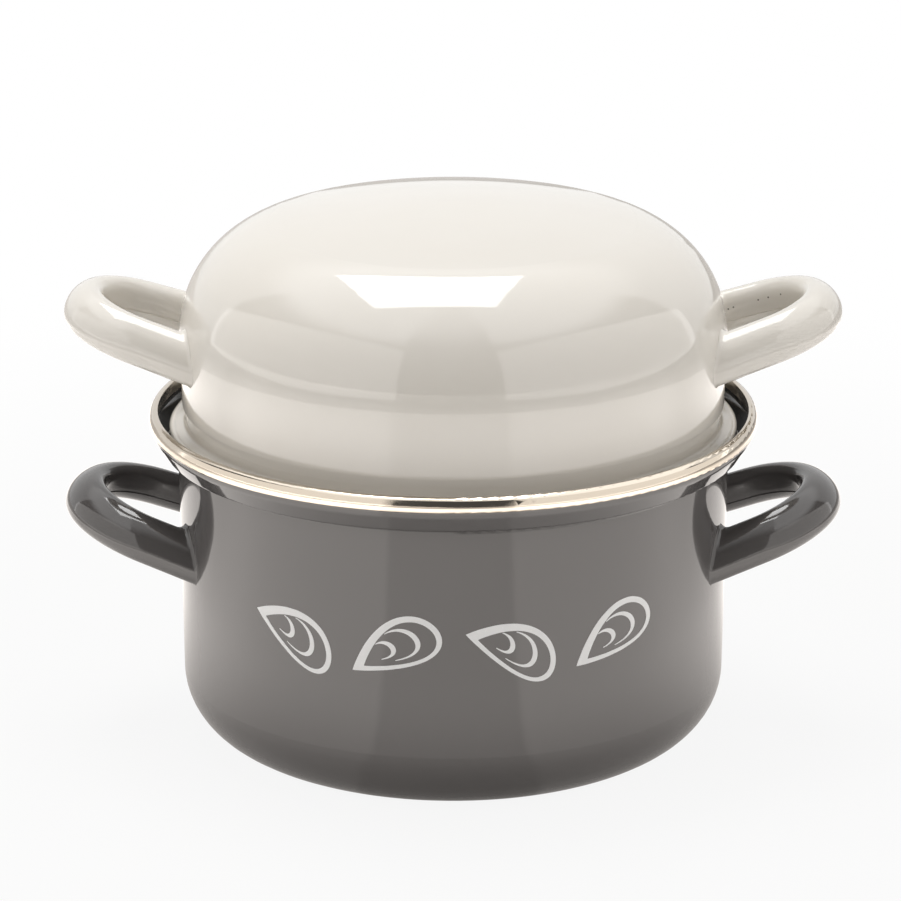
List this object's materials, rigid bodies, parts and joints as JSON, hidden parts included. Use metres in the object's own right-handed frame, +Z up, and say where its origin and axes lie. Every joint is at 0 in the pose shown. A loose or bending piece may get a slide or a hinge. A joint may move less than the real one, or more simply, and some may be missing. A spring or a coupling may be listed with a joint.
{
  "type": "mussel pot",
  "caption": "Enamelled steel mussel pot with a steel rim band, looped side handles, and a domed enamelled lid that turns over to hold the empty shells.",
  "frame": {"origin": "on the surface that the pot stands on, at the pot's axis", "axes": "+Z up, handles along +X and -X, front of the pot towards -Y"},
  "size_m": [0.2724, 0.212, 0.1902],
  "materials": {
    "grey_enamel": "gloss",
    "cream_enamel": "gloss",
    "rim_steel": "polished"
  },
  "bodies": {
    "root": {"pot_body": "grey_enamel", "rim_band": "rim_steel", "pot_handle_left": "grey_enamel", "pot_handle_right": "grey_enamel", "lid_bowl": "cream_enamel", "lid_handle_left": "cream_enamel", "lid_handle_right": "cream_enamel"}
  },
  "joints": []
}
